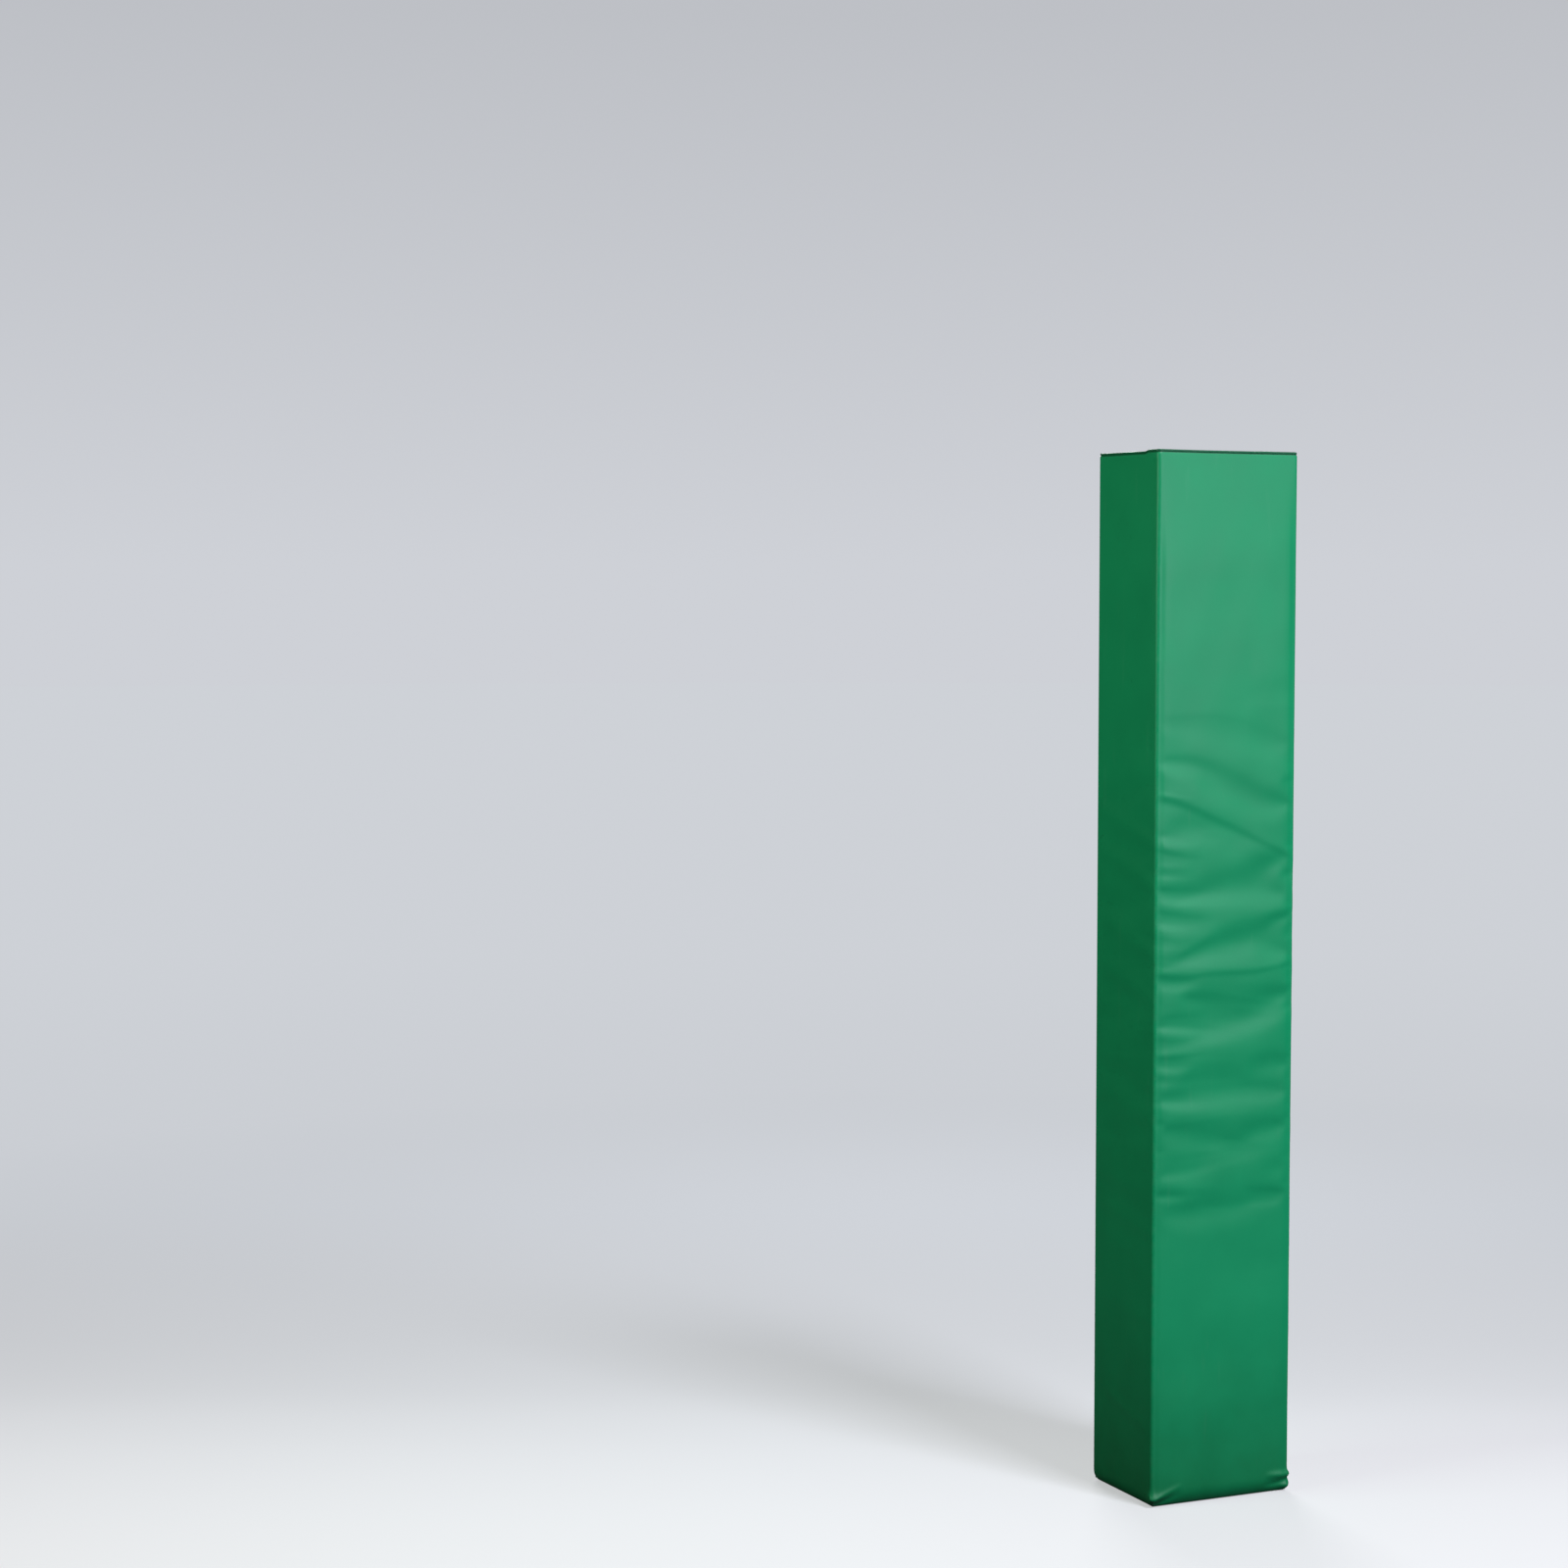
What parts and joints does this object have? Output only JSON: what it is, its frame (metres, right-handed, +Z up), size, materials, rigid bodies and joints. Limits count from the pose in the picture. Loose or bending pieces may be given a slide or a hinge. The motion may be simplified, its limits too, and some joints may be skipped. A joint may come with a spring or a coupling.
{
  "type": "basketball pole pad",
  "caption": "Tall three-panel foam pad in satin green vinyl that wraps the front and sides of a square goal post and straps shut behind.",
  "frame": {"origin": "on the floor, under the middle of the pad's full width and depth", "axes": "+Z up along the post, -Y out of the front panel, +Y towards the strapped back, +X across the front"},
  "size_m": [0.2854, 0.213, 1.829],
  "materials": {
    "cover_vinyl": "satin",
    "liner_vinyl": "matte",
    "foam": "matte",
    "webbing": "matte",
    "hook_tape": "matte",
    "loop_tape": "matte",
    "brass": "satin"
  },
  "bodies": {
    "front_panel": {"front_skin": "cover_vinyl", "front_liner": "liner_vinyl", "front_left_gusset": "liner_vinyl", "front_right_gusset": "liner_vinyl", "front_foam_core": "foam", "front_bottom_cap": "cover_vinyl", "front_top_cap": "cover_vinyl"},
    "left_panel": {"left_skin": "cover_vinyl", "left_rear_facing": "cover_vinyl", "left_liner": "liner_vinyl", "left_gusset": "liner_vinyl", "left_foam_core": "foam", "left_bottom_cap": "cover_vinyl", "left_top_cap": "cover_vinyl", "left_vent_eyelet_1": "brass", "left_vent_eyelet_2": "brass", "left_vent_eyelet_3": "brass", "left_vent_eyelet_4": "brass", "strap_anchor_1": "webbing", "strap_anchor_2": "webbing", "strap_anchor_3": "webbing", "strap_anchor_4": "webbing", "strap_anchor_5": "webbing"},
    "right_panel": {"right_skin": "cover_vinyl", "right_rear_facing": "cover_vinyl", "right_liner": "liner_vinyl", "right_gusset": "liner_vinyl", "right_foam_core": "foam", "right_bottom_cap": "cover_vinyl", "right_top_cap": "cover_vinyl", "right_vent_eyelet_1": "brass", "right_vent_eyelet_2": "brass", "right_vent_eyelet_3": "brass", "right_vent_eyelet_4": "brass", "loop_tape_1": "loop_tape", "loop_tape_2": "loop_tape", "loop_tape_3": "loop_tape", "loop_tape_4": "loop_tape", "loop_tape_5": "loop_tape"},
    "strap_1": {"strap_1": "webbing", "hook_tape_1": "hook_tape"},
    "strap_2": {"strap_2": "webbing", "hook_tape_2": "hook_tape"},
    "strap_3": {"strap_3": "webbing", "hook_tape_3": "hook_tape"},
    "strap_4": {"strap_4": "webbing", "hook_tape_4": "hook_tape"},
    "strap_5": {"strap_5": "webbing", "hook_tape_5": "hook_tape"}
  },
  "joints": [
    {"name": "left_panel_fold", "type": "hinge", "parent": "front_panel", "child": "left_panel", "pos_m": [-0.14, -0.10253, 0.9145], "axis": [0, 0, 1], "range_deg": [0, 90]},
    {"name": "right_panel_fold", "type": "hinge", "parent": "front_panel", "child": "right_panel", "pos_m": [0.14, -0.10253, 0.9145], "axis": [0, 0, -1], "range_deg": [0, 90]},
    {"name": "strap_1_peel", "type": "hinge", "parent": "left_panel", "child": "strap_1", "pos_m": [-0.07985, 0.10497, 0.165], "axis": [0, 0, 1], "range_deg": [0, 180]},
    {"name": "strap_2_peel", "type": "hinge", "parent": "left_panel", "child": "strap_2", "pos_m": [-0.07985, 0.10497, 0.53975], "axis": [0, 0, 1], "range_deg": [0, 180]},
    {"name": "strap_3_peel", "type": "hinge", "parent": "left_panel", "child": "strap_3", "pos_m": [-0.07985, 0.10497, 0.9145], "axis": [0, 0, 1], "range_deg": [0, 180]},
    {"name": "strap_4_peel", "type": "hinge", "parent": "left_panel", "child": "strap_4", "pos_m": [-0.07985, 0.10497, 1.28925], "axis": [0, 0, 1], "range_deg": [0, 180]},
    {"name": "strap_5_peel", "type": "hinge", "parent": "left_panel", "child": "strap_5", "pos_m": [-0.07985, 0.10497, 1.664], "axis": [0, 0, 1], "range_deg": [0, 180]}
  ],
  "couplings": [
    {"joint": "strap_1_peel", "follows": "right_panel_fold", "ratio": 2},
    {"joint": "strap_2_peel", "follows": "right_panel_fold", "ratio": 2},
    {"joint": "strap_3_peel", "follows": "right_panel_fold", "ratio": 2},
    {"joint": "strap_4_peel", "follows": "right_panel_fold", "ratio": 2},
    {"joint": "strap_5_peel", "follows": "right_panel_fold", "ratio": 2}
  ]
}
